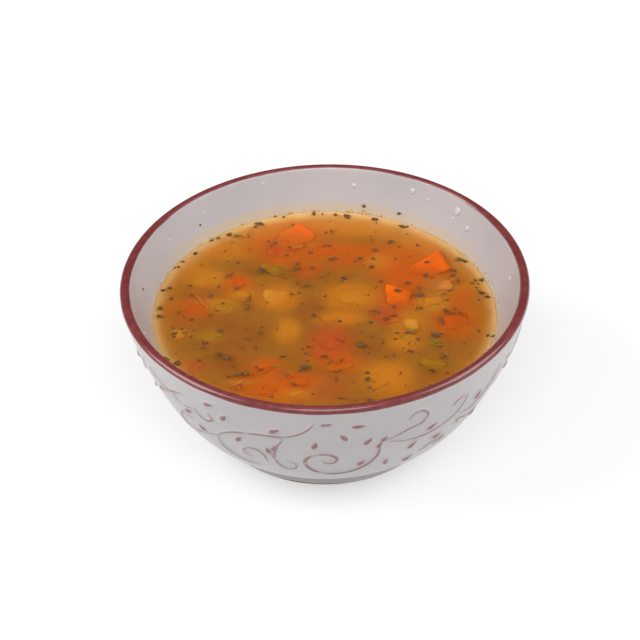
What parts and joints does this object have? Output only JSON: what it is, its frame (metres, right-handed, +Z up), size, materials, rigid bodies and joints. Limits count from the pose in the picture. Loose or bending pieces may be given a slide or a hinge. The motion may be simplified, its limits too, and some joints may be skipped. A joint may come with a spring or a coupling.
{
  "type": "bowl of minestrone",
  "caption": "Round footed stoneware bowl with a maroon painted lip and a raised vine scroll, filled with clear orange-brown vegetable soup with diced carrot, potato and herbs.",
  "frame": {"origin": "on the bowl's axis, in the plane that the foot ring stands on", "axes": "+Z up out of the bowl; +X to the right and +Y away from the picture's camera"},
  "size_m": [0.15, 0.15, 0.0654],
  "materials": {
    "glazed_stoneware": "glossy pale grey glaze, lip painted maroon, raised scroll rubbed with worn maroon",
    "broth": "cloudy clear orange-brown broth with a wet shine",
    "carrot": "boiled carrot, wet and bright orange",
    "potato": "boiled potato, pale yellow and wet",
    "onion": "boiled onion, pale and half clear",
    "tomato": "boiled tomato, soft red",
    "pod": "boiled green bean, olive"
  },
  "bodies": {
    "root": {"bowl": "glazed_stoneware", "soup": "broth", "carrot_wedge_right": "carrot", "carrot_wedge_back": "carrot", "carrot_dice_middle": "carrot", "potato_dice_left": "potato", "potato_dice_right": "potato", "onion_piece": "onion", "tomato_piece": "tomato", "pod_slice": "pod"}
  },
  "joints": []
}
